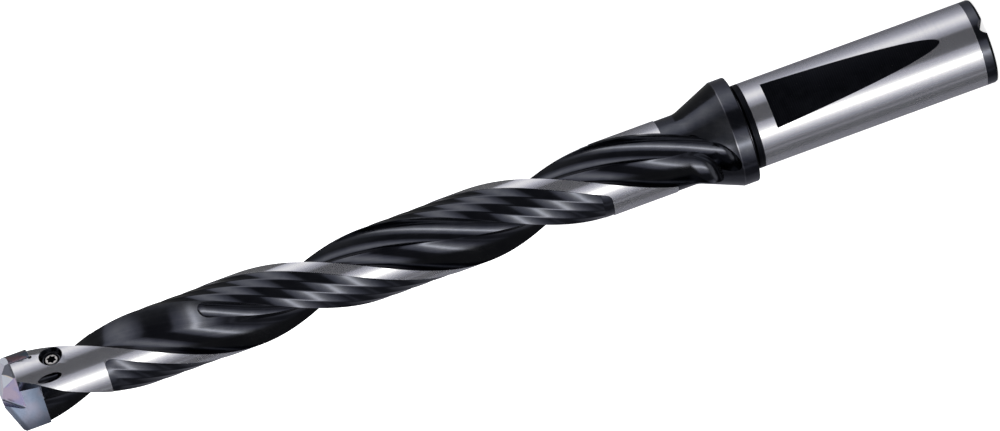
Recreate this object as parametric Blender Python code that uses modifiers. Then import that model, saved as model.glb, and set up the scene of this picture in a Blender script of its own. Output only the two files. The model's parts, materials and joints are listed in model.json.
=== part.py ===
"""Indexable twist drill: a fluted steel body, an exchangeable two-edged insert and its clamp screw.

The drill stands on the end of its shank. +Z runs along its axis to the cutting point, and the
origin is the centre of the shank's rear face. Lengths are in metres and angles in degrees.
Angles about the axis start at the insert's own long direction, and PLATE_TURN turns the whole
drill from there to its place.
"""
import bpy
import bmesh
from math import asin, atan2, ceil, cos, degrees, floor, pi, radians, sin, sqrt, tan
from mathutils import Matrix, Vector

# Turned outline, from the rear end upwards
SHANK_DIAMETER = 0.016
SHANK_LENGTH = 0.0476
REAR_CHAMFER = 0.0005
UNDERCUT_DEPTH = 0.0004
UNDERCUT_WIDTH = 0.0008
FACE_RECESS_DEPTH = 0.0002
FACE_RECESS_WIDTH = 0.0003
COLLAR_DIAMETER = 0.020
COLLAR_LENGTH = 0.0029
COLLAR_EDGE_BREAK = 0.0002
CONE_LENGTH = 0.0078
NECK_DIAMETER = 0.0135
NECK_LENGTH = 0.0041
NECK_FILLET = 0.004

# Fluted part
BODY_DIAMETER = 0.0138
REAR_LAND_LENGTH = 0.0124
RELIEF_LENGTH = 0.0969
FRONT_LAND_LENGTH = 0.0159
HELIX_PITCH = 0.0882
MARGIN_WIDTH = 20.0
LAND_WIDTH = 84.0
RELIEF_CHANNELS = 4
RELIEF_DEPTH = 0.0003
RELIEF_CREST = 0.00006
RELIEF_STEP = 0.0018
RELIEF_FRONT_CORNER = 0.0018
RELIEF_REAR_CORNER = 0.0009
RELIEF_WALL_TURN = 0.6

# Cutting-edge side of each flute: a wide round pass whose far side rises straight to the heel,
# and opens further towards the insert
EDGE_PASS_RADIUS = 0.0045
EDGE_PASS_RAKE = 14.0
EDGE_PASS_END = 0.0042
HEEL_TURN = 98.8
OPENING_START = 0.0076
OPENING_AT_SEAT = 5.2
OPENING_AT_JAW = 7.2
# Heel side of each flute: a deeper ball-nosed pass that runs out in the cone
HEEL_PASS_RADIUS = 0.0029
HEEL_PASS_CENTRE = 0.0056
HEEL_PASS_TURN = 71.2
HEEL_PASS_SETBACK = 0.0339
HEEL_PASS_END = 0.003
FLUTE_RIDGE_TURN = 53.0

# Insert and its seat
PLATE_TURN = 161.3
INSERT_DIAMETER = 0.014
PLATE_THICKNESS = 0.0045
SEAT_DEPTH = 0.0037
INSERT_HEIGHT = 0.00505
CORNER_CHAMFER = 0.0003
POINT_ANGLE = 139.0
FLANK_RELIEF = 10.0
STEM_DIAMETER = 0.0034
STEM_LENGTH = 0.008
STEM_FLAT = 0.0003
FLUTE_LAG = 14.8
CORNER_RELIEF_DIAMETER = 0.0008

# Gullet in front of each rake face: where its wall meets the jaw, and which way it faces
GULLET_FOOT = -0.00044
GULLET_FOOT_TURN = 112.3
GULLET_MOUTH = -0.00097
GULLET_MOUTH_TURN = 133.5

# Grinding of the point: a gash that thins the web, and a second relief behind each flank
WEB_AT_POINT = 0.0009
THINNING_RADIUS = 0.0006
THINNING_REACH = 0.0021
THINNING_DROP = 0.0037
SECOND_RELIEF = 33.4
HUB_REACH = 0.0034
HUB_RISE = 0.00015
HUB_LEAN = 14.5
HUB_WALL_ANGLE = 33.0

# Clamp screw, headless, with a six-lobed socket
SCREW_DIAMETER = 0.0025
SCREW_TURN = 148.2
SCREW_SETBACK = 0.0036
SCREW_RECESS = 0.00115
SCREW_STAND = 0.0002
SCREW_POINT_DIAMETER = 0.0016
SCREW_CHAMFER = 0.0002
SOCKET_DIAMETER = 0.0018
SOCKET_DEPTH = 0.001
COUNTERBORE_DIAMETER = 0.0042
COUNTERBORE_FLOOR = 0.0032

# Coolant supply
INLET_DIAMETER = 0.004
INLET_DEPTH = 0.030
SUPPLY_DIAMETER = 0.0022
DUCT_DIAMETER = 0.0015
DUCT_TURN = 113.7
DUCT_ANGLE = 20.0
DUCT_SETBACK = 0.0018

# Clamping flat and the groove in the rear face
FLAT_TURN = 127.2
FLAT_FRONT = 0.0422
FLAT_DEPTH = 0.0014
FLAT_SLOPE = 2.4
REAR_GROOVE_WIDTH = 0.003
REAR_GROOVE_DEPTH = 0.0012

# Clearances and fineness
SEAT_GAP = 0.00025
BORE_GAP = 0.00025
OVERRUN = 0.002
STATION_TWIST = 12.5
STATION_EASE = 0.2
NOSE_TURNS = (28.0, 52.0, 72.0, 86.0)
EDGE_LEAD = 4.0
MARGIN_STEP = 6.0
STOCK_STEP = 12.0
CHANNEL_STEPS = 3
CORNER_SHARES = (0.12, 0.4, 1.0)
EDGE_ARC_STEPS = 8
HEEL_ARC_STEPS = 12
WALL_STEP = 0.0011
WALL_STEPS = 5
WALL_RUN = 0.00003
GULLET_STEPS = 4
FILLET_STEPS = 4
ROUND_SIDES = 60
INSERT_SIDES = 96
SCREW_SIDES = 32
BORE_SIDES = 24
SMALL_SIDES = 12
SOCKET_POINTS = 24
SOCKET_WAVE = 0.13
THINNING_STEPS = 3
WELD = 0.00001
TINY = 0.0000001
SMOOTH_ANGLE = 30.0

SHANK_R = SHANK_DIAMETER / 2
BODY_R = BODY_DIAMETER / 2
INSERT_R = INSERT_DIAMETER / 2
HALF_PLATE = PLATE_THICKNESS / 2
TWIST = 360.0 / HELIX_PITCH

CONE_Z = SHANK_LENGTH + COLLAR_LENGTH
NECK_Z = CONE_Z + CONE_LENGTH
REAR_LAND_Z = NECK_Z + NECK_LENGTH
RELIEF_Z = REAR_LAND_Z + REAR_LAND_LENGTH
FRONT_LAND_Z = RELIEF_Z + RELIEF_LENGTH
LAND_END_Z = FRONT_LAND_Z + FRONT_LAND_LENGTH
SEAT_Z = LAND_END_Z - SEAT_DEPTH
CORNER_Z = SEAT_Z + INSERT_HEIGHT
POINT_SLOPE = tan(radians(90.0 - POINT_ANGLE / 2))
RELIEF_SLOPE = tan(radians(FLANK_RELIEF))
CUTTER_R = COLLAR_DIAMETER / 2 + OVERRUN
EDGE_REACH = sqrt(INSERT_R ** 2 - HALF_PLATE ** 2)
POINT_Z = CORNER_Z + EDGE_REACH * POINT_SLOPE - HALF_PLATE * RELIEF_SLOPE


def clear_scene():
    for item in list(bpy.data.objects):
        bpy.data.objects.remove(item, do_unlink=True)
    for group in list(bpy.data.collections):
        bpy.data.collections.remove(group)


def new_collection(name):
    group = bpy.data.collections.new(name)
    bpy.context.scene.collection.children.link(group)
    return group


def new_object(name, mesh, group):
    """Add a mesh to a collection, turned so that the insert points its own way."""
    item = bpy.data.objects.new(name, mesh)
    item.rotation_euler.z = radians(PLATE_TURN)
    group.objects.link(item)
    return item


def from_bmesh(name, bm, group):
    bmesh.ops.recalc_face_normals(bm, faces=bm.faces)
    mesh = bpy.data.meshes.new(name)
    bm.to_mesh(mesh)
    bm.free()
    return new_object(name, mesh, group)


def steel(name, colour, roughness, metallic):
    material = bpy.data.materials.new(name)
    material.use_nodes = True
    shader = material.node_tree.nodes["Principled BSDF"]
    shader.inputs["Base Color"].default_value = (*colour, 1.0)
    shader.inputs["Roughness"].default_value = roughness
    shader.inputs["Metallic"].default_value = metallic
    return material


def boolean(item, other, operation):
    step = item.modifiers.new(other.name, "BOOLEAN")
    step.operation = operation
    step.solver = "EXACT"
    step.object = other


def as_cutter(item):
    item.hide_render = True
    item.display_type = "WIRE"
    return item


def point(radius, turn):
    """The point at a radius and an angle in degrees, as x and y."""
    return Vector((radius * cos(radians(turn)), radius * sin(radians(turn))))


def arc(centre, radius, start, end, steps):
    """Points along an arc from one angle to another, both ends included."""
    return [centre + point(radius, start + (end - start) * i / steps) for i in range(steps + 1)]


def turned(name, profile, group, sides=ROUND_SIDES):
    """A solid of revolution from (radius, height) points that run down its outer side."""
    mesh = bpy.data.meshes.new(name)
    outline = [(0.0, profile[0][1])] + list(profile) + [(0.0, profile[-1][1])]
    edges = [(i, i + 1) for i in range(len(outline) - 1)]
    mesh.from_pydata([(r, 0.0, z) for r, z in outline], edges, [])
    item = new_object(name, mesh, group)
    screw = item.modifiers.new("turn", "SCREW")
    screw.steps = sides
    screw.render_steps = sides
    screw.use_merge_vertices = True
    screw.merge_threshold = WELD
    screw.use_normal_calculate = True
    return item


def loft(name, rings, group):
    """A closed solid through rings of equally many points, each ring a (height, points) pair."""
    bm = bmesh.new()
    loops = []
    for height, outline in rings:
        loops.append([bm.verts.new((p[0], p[1], height)) for p in outline])
    count = len(loops[0])
    for low, high in zip(loops, loops[1:]):
        for i in range(count):
            j = (i + 1) % count
            bm.faces.new((low[i], low[j], high[j], high[i]))
    bm.faces.new(list(reversed(loops[0])))
    bm.faces.new(loops[-1])
    return from_bmesh(name, bm, group)


def prism(name, outline, frame, depth, group):
    """A flat outline of (x, y) points, extruded along its frame's own Z."""
    bm = bmesh.new()
    base = [bm.verts.new((p[0], p[1], 0.0)) for p in outline]
    face = bm.faces.new(base)
    pushed = bmesh.ops.extrude_face_region(bm, geom=[face])
    top = [v for v in pushed["geom"] if isinstance(v, bmesh.types.BMVert)]
    bmesh.ops.translate(bm, verts=top, vec=(0.0, 0.0, depth))
    bmesh.ops.transform(bm, matrix=frame, verts=bm.verts)
    return from_bmesh(name, bm, group)


def basis(x_axis, y_axis, z_axis, spot):
    """The frame with these three axes at a spot."""
    axes = Matrix((x_axis, y_axis, z_axis)).transposed().to_4x4()
    return Matrix.Translation(spot) @ axes


def rod(name, diameter, start, end, group, sides=BORE_SIDES, end_diameter=None):
    """A round bar between two points, tapered where its end has a diameter of its own."""
    start = Vector(start)
    along = Vector(end) - start
    bm = bmesh.new()
    bmesh.ops.create_cone(bm, cap_ends=True, segments=sides, radius1=diameter / 2,
                          radius2=(end_diameter or diameter) / 2, depth=along.length)
    turn = along.to_track_quat("Z", "Y").to_matrix().to_4x4()
    place = Matrix.Translation(start + along / 2) @ turn
    bmesh.ops.transform(bm, matrix=place, verts=bm.verts)
    return from_bmesh(name, bm, group)


def block(name, low, high, group):
    bm = bmesh.new()
    bmesh.ops.create_cube(bm, size=1.0)
    low = Vector(low)
    high = Vector(high)
    size = high - low
    grow = Matrix.Diagonal((size.x, size.y, size.z, 1.0))
    bmesh.ops.transform(bm, matrix=Matrix.Translation((low + high) / 2) @ grow, verts=bm.verts)
    return from_bmesh(name, bm, group)


def edge_turn(height):
    """The angle of the first land's leading edge at a height: a right-hand helix."""
    corner = degrees(asin(HALF_PLATE / INSERT_R))
    return corner - FLUTE_LAG + TWIST * (height - SEAT_Z)


def twisted(outline, height, side):
    """An outline drawn with a leading edge on the X axis, turned to where that edge is."""
    turn = Matrix.Rotation(radians(edge_turn(height) + 180.0 * side), 2)
    return (height, [turn @ Vector(p) for p in outline])


def stations(low, high):
    """Heights from low to high, at steps that every helical surface shares."""
    step = STATION_TWIST / TWIST
    first = ceil(low / step + STATION_EASE)
    last = floor(high / step - STATION_EASE)
    return [low] + [step * i for i in range(first, last + 1)] + [high]


def narrowed(outline, centre, share):
    """A pass narrowed towards its centre line, as a ball nose narrows at its end."""
    outward = centre.normalized()
    across = Vector((-outward.y, outward.x))
    shaped = []
    for p in outline:
        offset = Vector(p) - centre
        out = offset.dot(outward)
        if out < 0.0:
            out *= share
        shaped.append(centre + outward * out + across * offset.dot(across) * share)
    return shaped


def nose(height, radius, direction):
    """Heights and width shares of a round end that begins at a height."""
    return [(height + direction * radius * sin(radians(a)), cos(radians(a)))
            for a in NOSE_TURNS]


def heel_turn(height):
    """The angle from a flute's leading edge to its heel, which grows towards the insert."""
    past_start = height - (LAND_END_Z - OPENING_START)
    to_seat = OPENING_START - SEAT_DEPTH
    share = min(1.0, max(0.0, past_start / to_seat))
    rest = min(1.0, max(0.0, (height - SEAT_Z) / SEAT_DEPTH))
    return HEEL_TURN + OPENING_AT_SEAT * share + (OPENING_AT_JAW - OPENING_AT_SEAT) * rest


def edge_pass_outline(height):
    """Section of the wide pass: from the leading edge round to the ridge, then straight out."""
    rake = radians(EDGE_PASS_RAKE)
    centre = Vector((BODY_R - EDGE_PASS_RADIUS * sin(rake), EDGE_PASS_RADIUS * cos(rake)))
    outward = degrees(atan2(centre.y, centre.x))
    ridge_turn = radians(outward - FLUTE_RIDGE_TURN)
    chord = centre.length * cos(ridge_turn)
    reach = chord - sqrt(EDGE_PASS_RADIUS ** 2 - (centre.length * sin(ridge_turn)) ** 2)
    ridge = point(reach, FLUTE_RIDGE_TURN)
    spoke = ridge - centre
    start = outward - 90.0
    end = degrees(atan2(spoke.y, spoke.x))
    bottom = arc(centre, EDGE_PASS_RADIUS, start, end, EDGE_ARC_STEPS)
    rise = (point(BODY_R, heel_turn(height)) - ridge).normalized()
    along = ridge.dot(rise)
    climb = -along + sqrt(along ** 2 - ridge.length_squared + CUTTER_R ** 2)
    wall = [ridge + rise * WALL_STEP * i for i in range(1, WALL_STEPS + 1)]
    heel = ridge + rise * climb
    middle = (outward + degrees(atan2(heel.y, heel.x))) / 2
    outer = [heel, point(CUTTER_R + OVERRUN, middle), bottom[0] + point(CUTTER_R / 2, outward)]
    return centre, bottom + wall + outer


def heel_pass_outline():
    """Section of the ball-nosed pass: a half round with straight sides that run outwards."""
    centre = point(HEEL_PASS_CENTRE, HEEL_PASS_TURN)
    start = HEEL_PASS_TURN - 90.0
    bottom = arc(centre, HEEL_PASS_RADIUS, start, start - 180.0, HEEL_ARC_STEPS)
    past = point(OVERRUN, HEEL_PASS_TURN)
    out = point(CUTTER_R - HEEL_PASS_CENTRE, HEEL_PASS_TURN)
    sides = [bottom[-1] + past, bottom[-1] + out, bottom[0] + out, bottom[0] + past]
    return centre, bottom + sides


def flute_cutters(side, group):
    """Both passes of one flute."""
    foot = NECK_Z - EDGE_PASS_END + EDGE_PASS_RADIUS
    centre, outline = edge_pass_outline(foot)
    rings = [(z, narrowed(outline, centre, share))
             for z, share in reversed(nose(foot, EDGE_PASS_RADIUS, -1))]
    rings += [(z, edge_pass_outline(z)[1]) for z in stations(foot, CORNER_Z + OVERRUN * 2)]
    rings = [twisted(shape, z, side) for z, shape in rings]
    as_cutter(loft(f"edge_pass_{side + 1}", rings, group))

    centre, outline = heel_pass_outline()
    foot = SHANK_LENGTH + HEEL_PASS_END + HEEL_PASS_RADIUS
    head = LAND_END_Z - HEEL_PASS_SETBACK - HEEL_PASS_RADIUS
    rings = [(z, narrowed(outline, centre, share))
             for z, share in reversed(nose(foot, HEEL_PASS_RADIUS, -1))]
    rings += [(z, outline) for z in stations(foot, head)]
    rings += [(z, narrowed(outline, centre, share))
              for z, share in nose(head, HEEL_PASS_RADIUS, 1)]
    rings = [twisted(shape, z, side) for z, shape in rings]
    as_cutter(loft(f"heel_pass_{side + 1}", rings, group))


def land_half(corner, plain, scalloped):
    """Half a section of the fluted stock, clockwise from just before a leading edge.

    The corner value is how far the relief's first channel is held back from the margin.
    """
    half = []
    turn = EDGE_LEAD
    while turn > -MARGIN_WIDTH + MARGIN_STEP / 2:
        half.append((BODY_R, turn))
        turn -= MARGIN_STEP
    width = (LAND_WIDTH - MARGIN_WIDTH) / RELIEF_CHANNELS
    start = -MARGIN_WIDTH - degrees(corner / BODY_R)
    half.append((BODY_R, start + RELIEF_WALL_TURN))
    floor_depth = RELIEF_CREST if plain else 0.0
    for channel in range(RELIEF_CHANNELS):
        end = -MARGIN_WIDTH - width * (channel + 1)
        for step in range(CHANNEL_STEPS):
            share = step / CHANNEL_STEPS
            depth = floor_depth
            if scalloped:
                depth += (RELIEF_DEPTH - RELIEF_CREST) * 4 * share * (1 - share)
            half.append((BODY_R - depth, start + (end - start) * share))
        start = end
    half.append((BODY_R - floor_depth, start))
    half.append((BODY_R - floor_depth, start - MARGIN_STEP))
    turn = start - MARGIN_STEP - MARGIN_STEP / 2
    while turn > EDGE_LEAD + STOCK_STEP / 2 - 180.0:
        half.append((BODY_R, turn))
        turn -= STOCK_STEP
    return half


def corner_inset(size, edge):
    """How far a rounded corner of a size stands back at a distance from the relief's end."""
    left = max(0.0, size - edge)
    return size - sqrt(size ** 2 - left ** 2)


def land_rings():
    """Height, corner inset, and whether the land is relieved and channelled there."""
    rear, front = RELIEF_REAR_CORNER, RELIEF_FRONT_CORNER
    step_z = RELIEF_Z + RELIEF_STEP
    rings = [(z, rear, False, False) for z in stations(REAR_LAND_Z, RELIEF_Z)]
    rings.append((RELIEF_Z + WALL_RUN, rear, True, False))
    rings += [(RELIEF_Z + rear * share, corner_inset(rear, rear * share), True, False)
              for share in CORNER_SHARES]
    rings.append((step_z, 0.0, True, False))
    rings += [(z, 0.0, True, True) for z in stations(step_z + WALL_RUN, FRONT_LAND_Z - front)]
    rings += [(FRONT_LAND_Z - front * share, corner_inset(front, front * share), True, True)
              for share in CORNER_SHARES[-2::-1]]
    rings.append((FRONT_LAND_Z - WALL_RUN, front, True, True))
    rings += [(z, front, False, False) for z in stations(FRONT_LAND_Z, LAND_END_Z)]
    return rings


def body_outline():
    """The turned outline of shank, collar, cone and neck, from the top down."""
    neck_r = NECK_DIAMETER / 2
    collar_r = COLLAR_DIAMETER / 2
    slope = atan2(collar_r - neck_r, CONE_LENGTH)
    reach = NECK_FILLET * tan(slope / 2)
    outline = [(neck_r, REAR_LAND_Z + OVERRUN / 2)]
    for i in range(FILLET_STEPS + 1):
        a = slope * i / FILLET_STEPS
        r = neck_r + NECK_FILLET * (1 - cos(a))
        outline.append((r, NECK_Z + reach - NECK_FILLET * sin(a)))
    outline += [
        (collar_r, CONE_Z),
        (collar_r, SHANK_LENGTH + COLLAR_EDGE_BREAK),
        (collar_r - COLLAR_EDGE_BREAK, SHANK_LENGTH),
        (SHANK_R + FACE_RECESS_WIDTH, SHANK_LENGTH),
        (SHANK_R, SHANK_LENGTH + FACE_RECESS_DEPTH),
        (SHANK_R - UNDERCUT_DEPTH, SHANK_LENGTH),
        (SHANK_R - UNDERCUT_DEPTH, SHANK_LENGTH - UNDERCUT_WIDTH + UNDERCUT_DEPTH),
        (SHANK_R, SHANK_LENGTH - UNDERCUT_WIDTH),
        (SHANK_R, REAR_CHAMFER),
        (SHANK_R - REAR_CHAMFER, 0.0),
    ]
    return outline


def fluted_blank(group):
    """The stock of the fluted part with its reliefs, its sides along the helix."""
    rings = []
    for z, corner, plain, scalloped in land_rings():
        half = land_half(corner, plain, scalloped)
        outline = [point(r, turn - other) for other in (0.0, 180.0) for r, turn in half]
        rings.append(twisted(outline, z, 0))
    return loft("drill_body", rings, group)


def gullet_cutter(side, group):
    """Opens the flute in front of one rake face, down to the insert's foot."""
    face = HALF_PLATE + SEAT_GAP
    turn = Matrix.Rotation(radians(180.0 * side), 2)
    rings = []
    foot = SEAT_Z - SEAT_GAP
    heights = [foot + (LAND_END_Z - foot) * i / GULLET_STEPS for i in range(GULLET_STEPS + 1)]
    for z in heights + [CORNER_Z + OVERRUN]:
        share = min(1.0, (z - foot) / (LAND_END_Z - foot))
        edge = GULLET_FOOT + (GULLET_MOUTH - GULLET_FOOT) * share
        wall = GULLET_FOOT_TURN + (GULLET_MOUTH_TURN - GULLET_FOOT_TURN) * share
        start = Vector((edge, face))
        far = start + point(CUTTER_R, wall)
        shape = [start, (CUTTER_R, face), (CUTTER_R, CUTTER_R), (0.0, CUTTER_R + OVERRUN), far]
        rings.append((z, [turn @ Vector(p) for p in shape]))
    as_cutter(loft(f"gullet_{side + 1}", rings, group))


def seat_cutters(group):
    """The insert's slot, its floor reliefs and the bore for its stem."""
    half = HALF_PLATE + SEAT_GAP
    floor = SEAT_Z - SEAT_GAP
    slot = block("slot", (-CUTTER_R, -half, floor), (CUTTER_R, half, CORNER_Z + CUTTER_R), group)
    bore = rod("stem_bore", STEM_DIAMETER + 2 * BORE_GAP, (0, 0, SEAT_Z - STEM_LENGTH - BORE_GAP),
               (0, 0, SEAT_Z + OVERRUN), group)
    as_cutter(slot)
    as_cutter(bore)
    for name, y in (("floor_relief_1", -half), ("floor_relief_2", half)):
        as_cutter(rod(name, CORNER_RELIEF_DIAMETER, (-CUTTER_R, y, floor), (CUTTER_R, y, floor),
                      group, sides=SMALL_SIDES))


def radial(radius, turn, height):
    spot = point(radius, turn)
    return Vector((spot.x, spot.y, height))


def screw_cutters(group):
    """The tapered counterbore and the threaded hole of the clamp screw."""
    z = SEAT_Z - SCREW_SETBACK
    floor = BODY_R - SCREW_RECESS - SCREW_STAND
    taper = (COUNTERBORE_DIAMETER - COUNTERBORE_FLOOR) / (BODY_R - floor)
    counterbore = rod("counterbore", COUNTERBORE_FLOOR, radial(floor, SCREW_TURN, z),
                      radial(CUTTER_R, SCREW_TURN, z), group, sides=SCREW_SIDES,
                      end_diameter=COUNTERBORE_FLOOR + taper * (CUTTER_R - floor))
    hole = rod("screw_hole", SCREW_DIAMETER + 2 * BORE_GAP, radial(STEM_DIAMETER / 4, SCREW_TURN, z),
               radial(CUTTER_R, SCREW_TURN, z), group)
    as_cutter(counterbore)
    as_cutter(hole)


def coolant_cutters(group):
    """The inlet in the shank, the central supply and the two slanting ducts."""
    fall = BODY_R / tan(radians(DUCT_ANGLE))
    exit_z = SEAT_Z - DUCT_SETBACK
    branch_z = exit_z - fall
    as_cutter(rod("inlet", INLET_DIAMETER, (0, 0, -OVERRUN), (0, 0, INLET_DEPTH), group))
    as_cutter(rod("supply", SUPPLY_DIAMETER, (0, 0, INLET_DEPTH - OVERRUN), (0, 0, branch_z),
                  group))
    for side in (0, 1):
        turn = DUCT_TURN + 180.0 * side
        stretch = 1 + OVERRUN / BODY_R
        end = radial(BODY_R * stretch, turn, branch_z + fall * stretch)
        start = (0, 0, branch_z - SUPPLY_DIAMETER / 2)
        as_cutter(rod(f"duct_{side + 1}", DUCT_DIAMETER, start, end, group))


def shank_cutters(group):
    """The slanting clamping flat, its front wall square to it, and the groove across the rear face."""
    rise = FLAT_DEPTH + OVERRUN
    slope = tan(radians(FLAT_SLOPE))
    side_view = [
        (FLAT_FRONT, SHANK_R - FLAT_DEPTH),
        (FLAT_FRONT + rise * slope, SHANK_R + OVERRUN),
        (FLAT_FRONT - rise / slope, SHANK_R + OVERRUN),
    ]
    outward = radial(1, FLAT_TURN, 0)
    across = outward.cross(Vector((0, 0, 1)))
    frame = Matrix((
        (0.0, outward.x, across.x, 0.0),
        (0.0, outward.y, across.y, 0.0),
        (1.0, 0.0, 0.0, 0.0),
        (0.0, 0.0, 0.0, 1.0),
    ))
    frame = Matrix.Translation(-across * SHANK_R) @ frame
    flat = prism("clamping_flat", side_view, frame, SHANK_DIAMETER, group)
    radius = REAR_GROOVE_WIDTH / 2
    lift = radius - REAR_GROOVE_DEPTH
    groove = rod("rear_groove", REAR_GROOVE_WIDTH, radial(-CUTTER_R, FLAT_TURN, -lift),
                 radial(CUTTER_R, FLAT_TURN, -lift), group)
    as_cutter(flat)
    as_cutter(groove)


def drill_body(parts, cutters, helpers):
    """One piece of steel: shank, collar, cone, neck and the fluted part with its two jaws."""
    body = fluted_blank(parts)
    boolean(body, as_cutter(turned("turned_part", body_outline(), helpers)), "UNION")
    for side in (0, 1):
        flute_cutters(side, cutters)
        gullet_cutter(side, cutters)
    seat_cutters(cutters)
    screw_cutters(cutters)
    coolant_cutters(cutters)
    shank_cutters(cutters)
    step = body.modifiers.new("cutters", "BOOLEAN")
    step.operation = "DIFFERENCE"
    step.solver = "EXACT"
    step.operand_type = "COLLECTION"
    step.collection = cutters
    return body


def plane_cut(bm, place, normal):
    """Cut away what lies on the normal's side of a plane and close the cut."""
    geometry = list(bm.verts) + list(bm.edges) + list(bm.faces)
    cut = bmesh.ops.bisect_plane(bm, geom=geometry, plane_co=place, plane_no=normal,
                                 clear_outer=True, dist=TINY)
    rim = [e for e in cut["geom_cut"] if isinstance(e, bmesh.types.BMEdge)]
    bmesh.ops.contextual_create(bm, geom=rim)


def cutting_insert(parts, cutters):
    """The carbide plate with its two cutting edges, and the stem that the screw clamps."""
    bm = bmesh.new()
    bmesh.ops.create_cone(bm, cap_ends=True, segments=INSERT_SIDES, radius1=INSERT_R, radius2=INSERT_R,
                          depth=2 * INSERT_HEIGHT)
    bmesh.ops.translate(bm, verts=bm.verts, vec=(0, 0, SEAT_Z + INSERT_HEIGHT))
    half_turn = Matrix.Rotation(pi, 3, "Z")
    for turn in (Matrix.Identity(3), half_turn):
        plane_cut(bm, turn @ Vector((0, HALF_PLATE, 0)), turn @ Vector((0, 1, 0)))
        corner = Vector((EDGE_REACH, HALF_PLATE, CORNER_Z))
        plane_cut(bm, turn @ corner, turn @ Vector((POINT_SLOPE, -RELIEF_SLOPE, 1)))
        chamfer = corner - Vector((0, 0, CORNER_CHAMFER))
        plane_cut(bm, turn @ chamfer, turn @ Vector((1, -RELIEF_SLOPE, 1)))
    insert = from_bmesh("cutting_insert", bm, parts)

    stem = rod("stem", STEM_DIAMETER, (0, 0, SEAT_Z - STEM_LENGTH), (0, 0, SEAT_Z + OVERRUN),
               cutters)
    boolean(insert, as_cutter(stem), "UNION")
    screw_z = SEAT_Z - SCREW_SETBACK
    flat = rod("stem_flat", STEM_DIAMETER, radial(STEM_DIAMETER / 2 - STEM_FLAT, SCREW_TURN, screw_z),
               radial(STEM_DIAMETER, SCREW_TURN, screw_z), cutters)
    boolean(insert, as_cutter(flat), "DIFFERENCE")
    for side in (0, 1):
        boolean(insert, thinning_cutter(side, cutters), "DIFFERENCE")
        boolean(insert, second_relief_cutter(side, cutters), "DIFFERENCE")
    return insert


def thinning_cutter(side, group):
    """The gash that thins the point: a round-cornered step from the web down to the rake face."""
    turn = Matrix.Rotation(pi * side, 4, "Z")
    start = Vector((-THINNING_RADIUS, WEB_AT_POINT / 2, POINT_Z))
    end = Vector((THINNING_REACH, HALF_PLATE, POINT_Z - THINNING_DROP))
    rise = (start - end).normalized()
    across = (Vector((1, 0, 0)) - rise * rise.x).normalized()
    frame = basis(across, rise.cross(across), rise, end - rise * INSERT_R)
    r = THINNING_RADIUS
    shape = arc(Vector((0, r)), r, 0.0, -90.0, THINNING_STEPS)
    shape += [(-INSERT_R, 0.0), (-INSERT_R, INSERT_R), (r, INSERT_R)]
    gash = prism(f"thinning_{side + 1}", shape, turn @ frame, 3 * INSERT_R, group)
    return as_cutter(gash)


def second_relief_cutter(side, group):
    """Drops the flank away behind a cutting edge, up to the hub around the point."""
    turn = Matrix.Rotation(pi * side, 4, "Z")
    slope = radians(SECOND_RELIEF)
    lean = radians(HUB_LEAN)
    fall = Vector((0, cos(slope), -sin(slope)))
    along = Vector((sin(lean), 0, 0)) + fall * cos(lean)
    away = Vector((-cos(lean), 0, 0)) + fall * sin(lean)
    spot = Vector((-HUB_REACH, HALF_PLATE, LAND_END_Z + HUB_RISE))
    frame = basis(away, along.cross(away), along, spot - along * INSERT_R)
    wall = point(INSERT_R, 180.0 - HUB_WALL_ANGLE)
    shape = [(0.0, 0.0), (INSERT_R, 0.0), (INSERT_R, INSERT_R), (wall.x, INSERT_R), wall]
    notch = prism(f"second_relief_{side + 1}", shape, turn @ frame, 2 * INSERT_R, group)
    return as_cutter(notch)


def clamp_screw(parts, cutters):
    """A headless screw with a flat point and a six-lobed socket, lying along a radius."""
    foot = STEM_DIAMETER / 2 - STEM_FLAT + SEAT_GAP
    head = BODY_R - SCREW_RECESS
    length = head - foot
    r = SCREW_DIAMETER / 2
    point_r = SCREW_POINT_DIAMETER / 2
    profile = [
        (r - SCREW_CHAMFER, length),
        (r, length - SCREW_CHAMFER),
        (r, r - point_r),
        (point_r, 0.0),
    ]
    screw = turned("clamp_screw", profile, parts, sides=SCREW_SIDES)
    outward = radial(1, SCREW_TURN, 0)
    upright = outward.to_track_quat("Z", "Y").to_matrix().to_4x4()
    spot = Matrix.Translation(radial(foot, SCREW_TURN, SEAT_Z - SCREW_SETBACK))
    screw.matrix_world = Matrix.Rotation(radians(PLATE_TURN), 4, "Z") @ spot @ upright
    shape = []
    for i in range(SOCKET_POINTS):
        turn = 360.0 * i / SOCKET_POINTS
        lobe = 1 - SOCKET_WAVE + SOCKET_WAVE * cos(radians(6 * turn))
        shape.append(point(SOCKET_DIAMETER / 2 * lobe, turn))
    frame = spot @ upright @ Matrix.Translation((0, 0, length - SOCKET_DEPTH))
    socket = prism("socket", shape, frame, SOCKET_DEPTH + OVERRUN, cutters)
    boolean(screw, as_cutter(socket), "DIFFERENCE")
    return screw


def finish(item, material):
    item.data.materials.append(material)
    item.data.shade_smooth()
    item.data.set_sharp_from_angle(angle=radians(SMOOTH_ANGLE))


def build():
    clear_scene()
    parts = new_collection("indexable_drill")
    cutters = new_collection("body_cutters")
    helpers = new_collection("other_cutters")
    body = drill_body(parts, cutters, helpers)
    finish(body, steel("ground_steel", (0.55, 0.55, 0.57), 0.3, 1.0))
    finish(cutting_insert(parts, helpers), steel("coated_carbide", (0.42, 0.42, 0.52), 0.3, 0.8))
    finish(clamp_screw(parts, helpers), steel("screw_steel", (0.45, 0.44, 0.43), 0.35, 1.0))


build()
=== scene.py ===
import json
from math import asin, atan2, ceil, cos, degrees, floor, pi, radians, sin, sqrt, tan
import bmesh
import bpy
from mathutils import Matrix, Vector

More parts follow.
